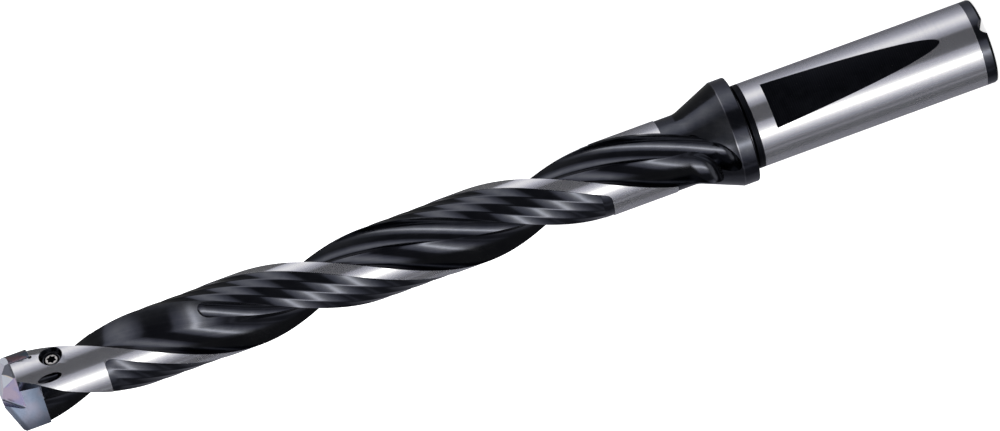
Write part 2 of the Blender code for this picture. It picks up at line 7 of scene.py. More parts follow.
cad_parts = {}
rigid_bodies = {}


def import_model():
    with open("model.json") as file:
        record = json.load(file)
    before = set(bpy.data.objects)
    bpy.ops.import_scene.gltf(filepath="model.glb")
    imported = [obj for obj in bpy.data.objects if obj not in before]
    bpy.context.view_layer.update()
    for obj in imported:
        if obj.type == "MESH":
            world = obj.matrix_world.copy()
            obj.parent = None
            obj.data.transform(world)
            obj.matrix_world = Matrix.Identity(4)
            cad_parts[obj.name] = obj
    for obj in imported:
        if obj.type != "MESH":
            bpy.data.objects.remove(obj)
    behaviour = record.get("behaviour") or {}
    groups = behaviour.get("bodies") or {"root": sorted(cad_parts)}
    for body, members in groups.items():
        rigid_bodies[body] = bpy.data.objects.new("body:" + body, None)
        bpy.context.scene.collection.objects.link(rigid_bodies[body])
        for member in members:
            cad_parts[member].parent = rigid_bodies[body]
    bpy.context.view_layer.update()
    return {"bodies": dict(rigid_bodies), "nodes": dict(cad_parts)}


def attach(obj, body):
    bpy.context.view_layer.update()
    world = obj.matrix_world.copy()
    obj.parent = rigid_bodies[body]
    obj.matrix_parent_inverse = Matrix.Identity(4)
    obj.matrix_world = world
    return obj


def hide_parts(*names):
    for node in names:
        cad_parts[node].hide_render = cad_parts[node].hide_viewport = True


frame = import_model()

# Shank, collar, cone and neck, as in the CAD source
SHANK_R = 0.008
SHANK_LENGTH = 0.0476
GROUND_LOW = 0.0022
GROUND_HIGH = 0.0457
UNDERCUT = 0.0004
EDGE_BREAK = 0.0002
FACE_RECESS = 0.0003
COLLAR_R = 0.010
CONE_Z = 0.0505
NECK_Z = 0.0583
NECK_R = 0.00675
NECK_FILLET = 0.004

# Lands and their scalloped relief, which is shallower and starts plain here
BODY_R = 0.0069
REAR_LAND_Z = 0.0624
RELIEF_Z = 0.0748
FRONT_LAND_Z = 0.1717
LAND_END_Z = 0.1876
HELIX_PITCH = 0.0882
MARGIN_WIDTH = 20.0
LAND_WIDTH = 84.0
RELIEF_CHANNELS = 4
RELIEF_DEPTH = 0.00024
RELIEF_CREST = 0.00013
RELIEF_STEP = 0.0018
RELIEF_FRONT_CORNER = 0.0018
RELIEF_REAR_CORNER = 0.0009
RELIEF_WALL_TURN = 0.6

# Flutes: a wide pass beside the cutting edge, and a ball-nosed one beside the heel, which is
# lifted towards both its ends here, so that it runs out
EDGE_PASS_RADIUS = 0.0045
EDGE_PASS_RAKE = 14.0
EDGE_PASS_END = 0.0042
FLUTE_RIDGE_TURN = 53.0
HEEL_TURN = 98.8
OPENING_START = 0.0076
OPENING_AT_SEAT = 5.2
OPENING_AT_JAW = 7.2
HEEL_PASS_RADIUS = 0.0029
HEEL_PASS_CENTRE = 0.0056
HEEL_PASS_TURN = 71.2
HEEL_PASS_SETBACK = 0.0339
HEEL_PASS_END = 0.003
RUN_OUT_LENGTH = 0.018
RUN_OUT_RISE = 0.001
CONE_RUN_OUT = 0.010
FLUTE_LAG = 14.8

# Insert and its seat, with a narrower gap shown than the CAD source keeps
PLATE_TURN = 161.3
INSERT_R = 0.007
HALF_PLATE = 0.00225
SEAT_Z = 0.1839
CORNER_Z = 0.18895
CORNER_CHAMFER = 0.0003
SEAT_GAP = 0.00025
SHOWN_GAP = 0.00005
FLOOR_RELIEF = 0.0008
STEM_DIAMETER = 0.0034
STEM_LENGTH = 0.008
STEM_FLAT_R = 0.0014
STEM_BORE = 0.0039
STEM_BORE_DEPTH = 0.00825
GULLET_FOOT = -0.00044
GULLET_DRIFT = -0.00053
GULLET_TURN = 112.3
GULLET_OPENING = 21.2
HALF_WEB = 0.00045
THINNING_RADIUS = 0.0006
THINNING_REACH = 0.0021
THINNING_DROP = 0.0037
SECOND_RELIEF = 33.4
HUB_REACH = 0.0034
HUB_RISE = 0.00015
HUB_LEAN = 14.5
HUB_WALL_ANGLE = 33.0
EDGE_ROUNDING = 0.00005

# Clamp screw and its hole
SCREW_TURN = 148.2
SCREW_Z = SEAT_Z - 0.0036
SCREW_R = 0.00125
SCREW_POINT_R = 0.0008
SCREW_RECESS = 0.00115
SCREW_HOLE = 0.003
SCREW_HOLE_FOOT = 0.00085
SOCKET_R = 0.0009
SOCKET_WAVE = 0.13
SOCKET_DEPTH = 0.001
COUNTERBORE_FLOOR = 0.0032
COUNTERBORE_FLARE = 0.0012
COUNTERBORE_DEPTH = 0.00135

# Coolant holes, clamping flat and the groove in the rear face
INLET_DIAMETER = 0.004
INLET_DEPTH = 0.030
SUPPLY_DIAMETER = 0.0022
SUPPLY_START = 0.028
DUCT_DIAMETER = 0.0015
DUCT_TURN = 113.7
DUCT_OVERLAP = 0.0011
DUCT_FALL = BODY_R / tan(radians(20.0))
BRANCH_Z = SEAT_Z - 0.0018 - DUCT_FALL
FLAT_TURN = 127.2
FLAT_FRONT = 0.0422
FLAT_DEPTH = 0.0014
FLAT_SLOPE = 2.4
REAR_GROOVE_WIDTH = 0.003
REAR_GROOVE_Z = -0.0003

# Values that follow from the sizes
OVERRUN = 0.002
TWIST = 360.0 / HELIX_PITCH
CUTTER_R = COLLAR_R + 0.002
POINT_SLOPE = tan(radians(90.0 - 139.0 / 2))
RELIEF_SLOPE = tan(radians(10.0))
EDGE_REACH = sqrt(INSERT_R ** 2 - HALF_PLATE ** 2)
POINT_Z = CORNER_Z + EDGE_REACH * POINT_SLOPE - HALF_PLATE * RELIEF_SLOPE

# Fineness of the shown surfaces
STATION_TWIST = 3.0
CHANNEL_STEPS = 10
NOSE_TURNS = [7.0 * i for i in range(1, 13)] + [87.5]
CORNER_SHARES = (0.02, 0.06, 0.12, 0.2, 0.3, 0.45, 0.65, 1.0)
WALL_RUN = 0.00003
WALL_STEP = 0.0006
WALL_STEPS = 9
EDGE_ARC_STEPS = 24
HEEL_ARC_STEPS = 36
THINNING_STEPS = 12
FILLET_STEPS = 12
GULLET_STEPS = 24
EDGE_LEAD = 4.0
MARGIN_STEP = 2.5
STOCK_STEP = 6.0
TURNED_SIDES = 192
INSERT_SIDES = 288
SCREW_SIDES = 96
COUNTERBORE_SIDES = 96
BORE_SIDES = 64
SMALL_SIDES = 48
SOCKET_POINTS = 96
FEW_FACES = 6000
WELD = 0.000001
ON_EDGE = 0.00001

# Studio panels, as the angle round the drill and the level at which the object reflects them
PANELS = (
    (-180, 0.20), (-144, 0.16), (-128, 0.27), (-112, 0.46), (-104, 0.60), (-96, 0.85), (-88, 1.15),
    (-80, 1.36), (-72, 1.22), (-64, 0.90), (-56, 0.52), (-48, 0.34), (-42, 0.07), (-14, 0.07),
    (-3, 0.09), (3, 0.48), (9, 0.66), (16, 0.98), (24, 1.7), (29, 3.6), (33, 5.2), (38, 3.4),
    (44, 1.7), (50, 1.15), (64, 0.44), (80, 0.11), (87, 0.28), (93, 0.10), (112, 0.09), (119, 0.2),
    (152, 0.24),
)
PANEL_TOP = 0.34
PANEL_TOP_FADE = 0.55
PANEL_FOOT = -0.18
PANEL_FOOT_FADE = 0.2
ABOVE_LEVEL = 0.2
BELOW_LEVEL = 0.07
OVERHEAD_LEVEL = 0.55
OVERHEAD_START = 0.72
OVERHEAD_END = 1.0
BEHIND_START = 0.45
BEHIND_END = 0.6
BEHIND_TURNS = (2.0, 2.4)
FLAG_START = -0.035
FLAG_END = -0.020
FLAG_TURNS = (-101.0, -104.0)
FLAG_LEVEL = 0.11
COLD_TINT = (0.96, 0.97, 1.10)
WARM_TINT = (1.0, 0.985, 0.95)
RING_R = 0.8
RING_HEIGHT = 3.0
RING_TOP = 1.4
FLOOR_R = 40.0

# Camera
LENS = 292.95
AIM_Z = 0.09487
DISTANCE = 1.48
LOOKING_DOWN = 6.0
ROLL = -110.09
CAMERA_OFFSET = (0.000257, 0.000343, 0.0)


for item in list(bpy.data.objects):
    if item not in frame["nodes"].values() and item not in frame["bodies"].values():
        bpy.data.objects.remove(item, do_unlink=True)
scene = bpy.context.scene


# Node building

def new_material(name):
    material = bpy.data.materials.new(name)
    material.use_nodes = True
    tree = material.node_tree
    tree.nodes.clear()
    return material, tree


def plug(tree, value, socket):
    """Join an output to a socket, or set the socket to a number."""
    if isinstance(value, bpy.types.NodeSocket):
        tree.links.new(value, socket)
    else:
        socket.default_value = value


def maths(tree, operation, a, b=0.0, c=0.0):
    node = tree.nodes.new("ShaderNodeMath")
    node.operation = operation
    for value, socket in zip((a, b, c), node.inputs):
        plug(tree, value, socket)
    return node.outputs[0]


def times(tree, first, *others):
    for other in others:
        first = maths(tree, "MULTIPLY", first, other)
    return first


def plus(tree, a, b):
    return maths(tree, "ADD", a, b)


def minus(tree, a, b):
    return maths(tree, "SUBTRACT", a, b)


def ramp(tree, value, low, high, start=0.0, end=1.0):
    """A value mapped smoothly from one range to another and held at its ends."""
    node = tree.nodes.new("ShaderNodeMapRange")
    node.interpolation_type = "SMOOTHSTEP"
    node.clamp = True
    for part, socket in zip((value, low, high, start, end), node.inputs):
        plug(tree, part, socket)
    return node.outputs[0]


def mix(tree, share, a, b):
    node = tree.nodes.new("ShaderNodeMix")
    node.data_type = "RGBA"
    plug(tree, share, node.inputs[0])
    for value, socket in ((a, node.inputs[6]), (b, node.inputs[7])):
        plug(tree, (*value, 1.0) if isinstance(value, tuple) else value, socket)
    return node.outputs[2]


def noise(tree, where, scale, detail, roughness=0.5):
    node = tree.nodes.new("ShaderNodeTexNoise")
    for label, value in (("Vector", where), ("Scale", scale), ("Detail", detail),
                         ("Roughness", roughness)):
        plug(tree, value, node.inputs[label])
    return node.outputs[0]


def combine(tree, x, y, z):
    node = tree.nodes.new("ShaderNodeCombineXYZ")
    for value, socket in zip((x, y, z), node.inputs):
        plug(tree, value, socket)
    return node.outputs[0]


def parts(tree, vector):
    node = tree.nodes.new("ShaderNodeSeparateXYZ")
    tree.links.new(vector, node.inputs[0])
    return node.outputs[0], node.outputs[1], node.outputs[2]


def spot(tree):
    """Object coordinates, as a vector and as three numbers."""
    where = tree.nodes.new("ShaderNodeTexCoord").outputs["Object"]
    return (where, *parts(tree, where))


def face_normal(tree):
    return parts(tree, tree.nodes.new("ShaderNodeNewGeometry").outputs["Normal"])


def from_axis(tree, x, y):
    return maths(tree, "SQRT", plus(tree, times(tree, x, x), times(tree, y, y)))


def new_group(name, inputs, outputs):
    """A node group whose named inputs and outputs are all plain values."""
    group = bpy.data.node_groups.new(name, "ShaderNodeTree")
    for way, labels in (("INPUT", inputs), ("OUTPUT", outputs)):
        for label in labels:
            group.interface.new_socket(label, in_out=way, socket_type="NodeSocketFloat")
    given = group.nodes.new("NodeGroupInput").outputs
    return group, given, group.nodes.new("NodeGroupOutput").inputs


def use_group(tree, group, *values):
    node = tree.nodes.new("ShaderNodeGroup")
    node.node_tree = group
    for value, socket in zip(values, node.inputs):
        plug(tree, value, socket)
    return node.outputs


def helix_group():
    """Round-the-axis coordinates: radius, turn from a land's leading edge, and how radial a face is."""
    group, _, out = new_group("helix_coordinates", (), ("Radius", "Turn", "Facing"))
    _, x, y, z = spot(group)
    radius = from_axis(group, x, y)
    start = radians(PLATE_TURN + degrees(asin(HALF_PLATE / INSERT_R)) - FLUTE_LAG - TWIST * SEAT_Z)
    turn = minus(group, maths(group, "ARCTAN2", y, x), times(group, z, radians(TWIST)))
    turn = maths(group, "WRAP", minus(group, turn, start), pi / 2, -pi / 2)
    right, back, _ = face_normal(group)
    facing = plus(group, times(group, x, right), times(group, y, back))
    facing = maths(group, "ABSOLUTE", maths(group, "DIVIDE", facing, radius))
    for value, socket in zip((radius, turn, facing), out):
        group.links.new(value, socket)
    return group


def rings_group():
    """Fine rings that grinding and turning leave, and uneven patches, as values around one half."""
    group, _, out = new_group("turning_rings", (), ("Rings", "Blotches"))
    where, x, y, z = spot(group)
    squeezed = combine(group, times(group, x, 0.02), times(group, y, 0.02), z)
    group.links.new(noise(group, squeezed, 5200.0, 3.0, 0.6), out[0])
    group.links.new(noise(group, where, 260.0, 3.0, 0.55), out[1])
    return group


def grain_group():
    """Even grain as a value around one half."""
    group, given, out = new_group("fine_grain", ("Scale", "Detail"), ("Grain",))
    group.links.new(noise(group, spot(group)[0], given[0], given[1]), out[0])
    return group


def specks_group():
    """Small scattered specks as a mask, fewer as the limits rise."""
    group, given, out = new_group("scattered_specks", ("Scale", "Low", "High"), ("Specks",))
    group.links.new(ramp(group, noise(group, spot(group)[0], given[0], 1.0), given[1], given[2]), out[0])
    return group


HELIX = helix_group()
RINGS = rings_group()
GRAIN = grain_group()
SPECKS = specks_group()


def bump(tree, height, distance):
    node = tree.nodes.new("ShaderNodeBump")
    node.inputs["Distance"].default_value = distance
    tree.links.new(height, node.inputs["Height"])
    return node.outputs[0]


def surface(tree, colour, roughness, metallic, normal):
    shader = tree.nodes.new("ShaderNodeBsdfPrincipled")
    output = tree.nodes.new("ShaderNodeOutputMaterial")
    tree.links.new(shader.outputs[0], output.inputs[0])
    tree.links.new(colour, shader.inputs["Base Color"])
    tree.links.new(roughness, shader.inputs["Roughness"])
    shader.inputs["Metallic"].default_value = metallic
    tree.links.new(normal, shader.inputs["Normal"])


def ground_finish():
    """Bright ground steel: very fine rings round the axis and faint uneven patches."""
    material, tree = new_material("ground_steel_finish")
    rings, blotches = use_group(tree, RINGS)
    colour = mix(tree, ramp(tree, rings, 0.3, 0.7), (0.575, 0.58, 0.615), (0.61, 0.61, 0.635))
    colour = mix(tree, ramp(tree, blotches, 0.45, 0.8, 0.0, 0.25), colour, (0.56, 0.555, 0.58))
    rough = ramp(tree, rings, 0.25, 0.75, 0.10, 0.15)
    surface(tree, colour, rough, 0.82, bump(tree, rings, 0.0000001))
    return material


def black_finish():
    """Blackened steel of the flutes, reliefs and collar, worn bright along its outer edges and painted
    bright there as a highlight for the light that fine edge chamfers catch.
    """
    material, tree = new_material("black_oxide_finish")
    where, _, _, z = spot(tree)
    radius, turn, facing = use_group(tree, HELIX)
    rings, _ = use_group(tree, RINGS)
    specks = use_group(tree, SPECKS, 5200.0, 0.69, 0.78)[0]
    cloud = noise(tree, where, 330.0, 4.0, 0.6)
    drawn = combine(tree, times(tree, turn, 1.2), times(tree, radius, 160.0), times(tree, z, 6.0))
    streaks = noise(tree, drawn, 9.0, 4.0, 0.6)
    colour = mix(tree, ramp(tree, cloud, 0.3, 0.7), (0.058, 0.062, 0.076), (0.080, 0.084, 0.098))
    colour = mix(tree, ramp(tree, streaks, 0.45, 0.8, 0.0, 0.5), colour, (0.105, 0.105, 0.118))
    colour = mix(tree, times(tree, specks, 0.25), colour, (0.16, 0.16, 0.17))

    fluted = ramp(tree, z, REAR_LAND_Z, REAR_LAND_Z + 0.0002)
    # Worn steel and painted highlight: flute faces just inside the body's radius, and the collar's edge at
    # the cone, are painted bright steel, which also stands in for light caught by tiny edge chamfers.
    limit = plus(tree, radius, times(tree, minus(tree, cloud, 0.5), 0.00012))
    edge_wear_and_highlight = ramp(tree, limit, BODY_R - 0.00009, BODY_R - 0.00003)
    edge_wear_and_highlight = times(tree, edge_wear_and_highlight, ramp(tree, facing, 0.72, 0.55), fluted, 0.9)
    from_cone = maths(tree, "ABSOLUTE", minus(tree, z, CONE_Z))
    rim_wear_and_highlight = minus(tree, 1.0, ramp(tree, from_cone, 0.00006, 0.00016))
    rim_wear_and_highlight = times(tree, rim_wear_and_highlight, ramp(tree, radius, COLLAR_R - 0.0003, COLLAR_R - 0.0001), 0.2)
    colour = mix(tree, maths(tree, "MAXIMUM", edge_wear_and_highlight, rim_wear_and_highlight), colour, (0.50, 0.50, 0.53))

    rough = plus(tree, ramp(tree, cloud, 0.3, 0.7, 0.11, 0.15), ramp(tree, streaks, 0.4, 0.8, 0.0, 0.05))
    height = plus(tree, times(tree, rings, minus(tree, 1.0, fluted)),
                  times(tree, streaks, times(tree, fluted, 1.6)))
    height = plus(tree, height, times(tree, cloud, 1.5))
    surface(tree, colour, rough, 1.0, bump(tree, height, 0.0000025))
    return material


def milled_finish():
    """Nearly black milled flat, with fine lines across it."""
    material, tree = new_material("milled_black_finish")
    z = spot(tree)[3]
    wave = maths(tree, "SINE", times(tree, z, 2 * pi / 0.00042))
    breakup = use_group(tree, GRAIN, 900.0, 3.0)[0]
    specks = use_group(tree, SPECKS, 4200.0, 0.72, 0.8)[0]
    lines = ramp(tree, plus(tree, wave, times(tree, breakup, 1.4)), -0.6, 1.9)
    colour = mix(tree, lines, (0.010, 0.011, 0.014), (0.015, 0.016, 0.021))
    colour = mix(tree, times(tree, specks, 0.5), colour, (0.09, 0.085, 0.08))
    rough = ramp(tree, breakup, 0.3, 0.7, 0.42, 0.55)
    surface(tree, colour, rough, 1.0, bump(tree, lines, 0.000001))
    return material


def coating_finish():
    """Thin hard coating on the insert: each ground facet has its own tint of blue, lilac or beige, with
    painted shading on the rake face and a painted highlight on the bevels between facets.
    """
    material, tree = new_material("carbide_coating_finish")
    _, x, y, z = spot(tree)
    right, back, rise = face_normal(tree)
    radius, _, facing = use_group(tree, HELIX)
    drift = use_group(tree, GRAIN, 430.0, 1.0)[0]
    grain = use_group(tree, GRAIN, 2600.0, 3.0)[0]
    hub = ramp(tree, radius, 0.0041, 0.0043)

    def size_along(a, b, turn):
        part = plus(tree, times(tree, a, cos(radians(turn))), times(tree, b, sin(radians(turn))))
        return maths(tree, "ABSOLUTE", part)

    def drifting(low, high, first, second):
        return mix(tree, ramp(tree, drift, low, high), first, second)

    edge_z = maths(tree, "MULTIPLY_ADD", size_along(x, y, PLATE_TURN), -POINT_SLOPE,
                   CORNER_Z + EDGE_REACH * POINT_SLOPE)
    # Painted shading: the rake face is darkened near the axis, towards its outer edge, towards the seat and
    # along the cutting edge.
    painted_rake_shading = times(tree, ramp(tree, radius, 0.0004, 0.003, 0.6, 1.0),
                  ramp(tree, radius, 0.0035, 0.0068, 1.0, 0.2),
                  ramp(tree, z, SEAT_Z, SEAT_Z + 0.003, 0.55, 1.0),
                  ramp(tree, minus(tree, edge_z, z), 0.0007, 0.0012, 0.4, 1.0))
    rake = drifting(0.3, 0.7, (0.085, 0.105, 0.148), (0.106, 0.112, 0.150))
    rake = mix(tree, painted_rake_shading, (0.01, 0.012, 0.018), rake)
    gash = drifting(0.35, 0.65, (0.50, 0.58, 0.76), (0.66, 0.66, 0.80))
    upright = size_along(right, back, PLATE_TURN + 90.0)
    colour = mix(tree, ramp(tree, upright, 0.96, 0.985), gash, rake)

    web = drifting(0.35, 0.65, (0.52, 0.51, 0.82), (0.68, 0.58, 0.76))
    for low, high, tint in (
            (0.30, 0.42, mix(tree, hub, web, (0.16, 0.17, 0.20))),
            # Painted highlight: bevel faces that lean between the gash and the second relief are painted
            # near white.
            (0.48, 0.54, (0.84, 0.88, 1.0)),
            (0.78, 0.81, mix(tree, hub, (0.98, 0.88, 0.80), (0.19, 0.20, 0.25))),
            (0.87, 0.90, drifting(0.35, 0.65, (0.62, 0.64, 0.80), (0.74, 0.72, 0.84)))):
        colour = mix(tree, ramp(tree, rise, low, high), colour, tint)

    margin = times(tree, ramp(tree, radius, 0.00688, 0.00696), ramp(tree, facing, 0.8, 0.95))
    brown = drifting(0.4, 0.6, (0.28, 0.36, 0.48), (0.54, 0.36, 0.42))
    colour = mix(tree, margin, colour, brown)
    rough = ramp(tree, grain, 0.3, 0.7, 0.20, 0.26)
    surface(tree, colour, rough, 1.0, bump(tree, grain, 0.0000003))
    return material


def screw_finish():
    """Plain satin steel of the clamp screw."""
    material, tree = new_material("screw_steel_finish")
    grain = use_group(tree, GRAIN, 1500.0, 3.0)[0]
    colour = mix(tree, ramp(tree, grain, 0.3, 0.7), (0.38, 0.37, 0.36), (0.56, 0.54, 0.53))
    rough = ramp(tree, grain, 0.3, 0.7, 0.3, 0.42)
    surface(tree, colour, rough, 1.0, bump(tree, grain, 0.000003))
    return material


# Solids, each made upright with the insert along X and turned to its place when it is finished

def point(radius, turn):
    return Vector((radius * cos(radians(turn)), radius * sin(radians(turn))))


def radial(radius, turn, height):
    return Vector((*point(radius, turn), height))


def arc(centre, radius, start, end, steps):
    return [centre + point(radius, start + (end - start) * i / steps) for i in range(steps + 1)]


def solid(name, bm, *materials):
    bmesh.ops.recalc_face_normals(bm, faces=bm.faces)
    mesh = bpy.data.meshes.new(name)
    bm.to_mesh(mesh)
    bm.free()
    for material in materials:
        mesh.materials.append(material)
    item = bpy.data.objects.new(name, mesh)
    scene.collection.objects.link(item)
    return item


def of_kind(geometry, kind):
    return [g for g in geometry if isinstance(g, kind)]


def grow(rings):
    """A closed solid grown ring by ring, each ring a height and equally many points."""
    bm = bmesh.new()
    height, outline = rings[0]
    loop = bmesh.ops.create_circle(bm, segments=len(outline), radius=1.0)["verts"]
    edges = list(bm.edges)
    for vert, p in zip(loop, outline):
        vert.co = (p[0], p[1], height)
    for height, outline in rings[1:]:
        grown = bmesh.ops.extrude_edge_only(bm, edges=edges)["geom"]
        fresh = set(of_kind(grown, bmesh.types.BMVert))
        edges = [e for e in of_kind(grown, bmesh.types.BMEdge) if fresh.issuperset(e.verts)]
        loop = [next(v for v in (e.other_vert(old) for e in old.link_edges) if v in fresh)
                for old in loop]
        for vert, p in zip(loop, outline):
            vert.co = (p[0], p[1], height)
    bmesh.ops.holes_fill(bm, edges=bm.edges, sides=0)
    return bm


def spun(profile, steps):
    """A solid turned round Z from (radius, height) points, its ends closed on the axis."""
    bm = bmesh.new()
    points = [(0.0, profile[0][1])] + list(profile) + [(0.0, profile[-1][1])]
    last = bmesh.ops.create_vert(bm, co=(points[0][0], 0.0, points[0][1]))["vert"][0]
    for r, z in points[1:]:
        grown = bmesh.ops.extrude_vert_indiv(bm, verts=[last])["verts"]
        last = grown[0]
        last.co = (r, 0.0, z)
    bmesh.ops.spin(bm, geom=list(bm.verts) + list(bm.edges), cent=(0, 0, 0), axis=(0, 0, 1),
                   angle=2 * pi, steps=steps, use_merge=True)
    bmesh.ops.remove_doubles(bm, verts=bm.verts, dist=2 * WELD)
    return bm


def pushed(outline, place, depth):
    """A flat outline pushed along the Z of its place."""
    bm = bmesh.new()
    made = bmesh.ops.create_circle(bm, cap_ends=True, segments=len(outline), radius=1.0)
    for vert, p in zip(made["verts"], outline):
        vert.co = (p[0], p[1], 0.0)
    top = bmesh.ops.extrude_face_region(bm, geom=list(bm.faces))["geom"]
    bmesh.ops.translate(bm, verts=of_kind(top, bmesh.types.BMVert), vec=(0, 0, depth))
    bmesh.ops.transform(bm, matrix=place, verts=bm.verts)
    return bm


def bar(diameter, start, end, sides=SMALL_SIDES, end_diameter=None):
    start = Vector(start)
    along = Vector(end) - start
    bm = bmesh.new()
    bmesh.ops.create_cone(bm, cap_ends=True, segments=sides, radius1=diameter / 2,
                          radius2=(end_diameter or diameter) / 2, depth=along.length)
    turn = along.to_track_quat("Z", "Y").to_matrix().to_4x4()
    bmesh.ops.transform(bm, matrix=Matrix.Translation(start + along / 2) @ turn, verts=bm.verts)
    return bm


def basis(x_axis, y_axis, z_axis, place):
    return Matrix.Translation(place) @ Matrix((x_axis, y_axis, z_axis)).transposed().to_4x4()


def edge_turn(height):
    return degrees(asin(HALF_PLATE / INSERT_R)) - FLUTE_LAG + TWIST * (height - SEAT_Z)


def twisted(outline, height, side=0):
    turn = Matrix.Rotation(radians(edge_turn(height) + 180.0 * side), 2)
    return (height, [turn @ Vector(p) for p in outline])


def stations(low, high):
    step = STATION_TWIST / TWIST
    first, last = ceil(low / step + 0.2), floor(high / step - 0.2)
    return [low] + [step * i for i in range(first, last + 1)] + [high]


def narrowed(outline, centre, share):
    outward = centre.normalized()
    across = Vector((-outward.y, outward.x))
    shaped = []
    for p in outline:
        offset = Vector(p) - centre
        out = offset.dot(outward)
        shaped.append(centre + outward * (out * share if out < 0.0 else out)
                      + across * offset.dot(across) * share)
    return shaped


def nose(height, radius, direction):
    return [(height + direction * radius * sin(radians(a)), cos(radians(a))) for a in NOSE_TURNS]


def heel_turn(height):
    """The angle from a flute's leading edge to its heel, which grows towards the insert."""
    past_start = height - (LAND_END_Z - OPENING_START)
    share = min(1.0, max(0.0, past_start / (SEAT_Z - LAND_END_Z + OPENING_START)))
    rest = min(1.0, max(0.0, (height - SEAT_Z) / (LAND_END_Z - SEAT_Z)))
    return HEEL_TURN + OPENING_AT_SEAT * share + (OPENING_AT_JAW - OPENING_AT_SEAT) * rest


def edge_pass_outline(height):
    rake = radians(EDGE_PASS_RAKE)
    centre = Vector((BODY_R - EDGE_PASS_RADIUS * sin(rake), EDGE_PASS_RADIUS * cos(rake)))
    outward = degrees(atan2(centre.y, centre.x))
    ridge_turn = radians(outward - FLUTE_RIDGE_TURN)
    reach = centre.length * cos(ridge_turn) - sqrt(
        EDGE_PASS_RADIUS ** 2 - (centre.length * sin(ridge_turn)) ** 2)
    ridge = point(reach, FLUTE_RIDGE_TURN)
    spoke = ridge - centre
    bottom = arc(centre, EDGE_PASS_RADIUS, outward - 90.0, degrees(atan2(spoke.y, spoke.x)), EDGE_ARC_STEPS)
    rise = (point(BODY_R, heel_turn(height)) - ridge).normalized()
    along = ridge.dot(rise)
    climb = -along + sqrt(along ** 2 - ridge.length_squared + CUTTER_R ** 2)
    wall = [ridge + rise * WALL_STEP * i for i in range(1, WALL_STEPS + 1)]
    heel = ridge + rise * climb
    middle = (outward + degrees(atan2(heel.y, heel.x))) / 2
    outer = [heel, point(CUTTER_R + OVERRUN, middle), bottom[0] + point(CUTTER_R / 2, outward)]
    return centre, bottom + wall + outer


def heel_pass_outline():
    centre = point(HEEL_PASS_CENTRE, HEEL_PASS_TURN)
    start = HEEL_PASS_TURN - 90.0
    bottom = arc(centre, HEEL_PASS_RADIUS, start, start - 180.0, HEEL_ARC_STEPS)
    past = point(OVERRUN, HEEL_PASS_TURN)
    out = point(CUTTER_R - HEEL_PASS_CENTRE, HEEL_PASS_TURN)
    return centre, bottom + [bottom[-1] + past, bottom[-1] + out, bottom[0] + out, bottom[0] + past]


def flute_rings(side):
    foot = NECK_Z - EDGE_PASS_END + EDGE_PASS_RADIUS
    centre, outline = edge_pass_outline(foot)
    rings = [(z, narrowed(outline, centre, share))
             for z, share in reversed(nose(foot, EDGE_PASS_RADIUS, -1))]
    rings += [(z, edge_pass_outline(z)[1]) for z in stations(foot, CORNER_Z + OVERRUN * 2)]
    yield [twisted(shape, z, side) for z, shape in rings]
    centre, outline = heel_pass_outline()
    foot = SHANK_LENGTH + HEEL_PASS_END + HEEL_PASS_RADIUS
    head = LAND_END_Z - HEEL_PASS_SETBACK - HEEL_PASS_RADIUS
    rings = [(z, narrowed(outline, centre, share))
             for z, share in reversed(nose(foot, HEEL_PASS_RADIUS, -1))]
    rings += [(z, outline) for z in stations(foot, head)]
    rings += [(z, narrowed(outline, centre, share)) for z, share in nose(head, HEEL_PASS_RADIUS, 1)]
    outward = centre.normalized()
    for i, (z, shape) in enumerate(rings):
        share = min(1.0, max(0.0, (z - head + RUN_OUT_LENGTH) / RUN_OUT_LENGTH,
                             (foot + CONE_RUN_OUT - z) / CONE_RUN_OUT))
        lift = outward * RUN_OUT_RISE * share * share * (3 - 2 * share)
        rings[i] = (z, [Vector(p) + lift for p in shape])
    yield [twisted(shape, z, side) for z, shape in rings]


def land_half(corner, plain, scalloped):
    half = []
    turn = EDGE_LEAD
    while turn > -MARGIN_WIDTH + MARGIN_STEP / 2:
        half.append((BODY_R, turn))
        turn -= MARGIN_STEP
    width = (LAND_WIDTH - MARGIN_WIDTH) / RELIEF_CHANNELS
    start = -MARGIN_WIDTH - degrees(corner / BODY_R)
    half.append((BODY_R, start + RELIEF_WALL_TURN))
    floor_depth = RELIEF_CREST if plain else 0.0
    for channel in range(RELIEF_CHANNELS):
        end = -MARGIN_WIDTH - width * (channel + 1)
        for step in range(CHANNEL_STEPS):
            share = step / CHANNEL_STEPS
            depth = floor_depth
            if scalloped:
                depth += (RELIEF_DEPTH - RELIEF_CREST) * 4 * share * (1 - share)
            half.append((BODY_R - depth, start + (end - start) * share))
        start = end
    half.append((BODY_R - floor_depth, start))
    half.append((BODY_R - floor_depth, start - MARGIN_STEP))
    turn = start - MARGIN_STEP * 1.5
    while turn > EDGE_LEAD + STOCK_STEP / 2 - 180.0:
        half.append((BODY_R, turn))
        turn -= STOCK_STEP
    return half


def corner_inset(size, edge):
    left = max(0.0, size - edge)
    return size - sqrt(size ** 2 - left ** 2)


def land_rings():
    rear, front = RELIEF_REAR_CORNER, RELIEF_FRONT_CORNER
    step_z = RELIEF_Z + RELIEF_STEP
    rings = [(z, rear, False, False) for z in stations(REAR_LAND_Z, RELIEF_Z)]
    rings.append((RELIEF_Z + WALL_RUN, rear, True, False))
    rings += [(RELIEF_Z + rear * share, corner_inset(rear, rear * share), True, False)
              for share in CORNER_SHARES]
    rings.append((step_z, 0.0, True, False))
    rings += [(z, 0.0, True, True) for z in stations(step_z + WALL_RUN, FRONT_LAND_Z - front)]
    rings += [(FRONT_LAND_Z - front * share, corner_inset(front, front * share), True, False)
              for share in CORNER_SHARES[-2::-1]]
    rings.append((FRONT_LAND_Z - WALL_RUN, front, True, False))
    rings += [(z, front, False, False) for z in stations(FRONT_LAND_Z, LAND_END_Z)]
    return rings


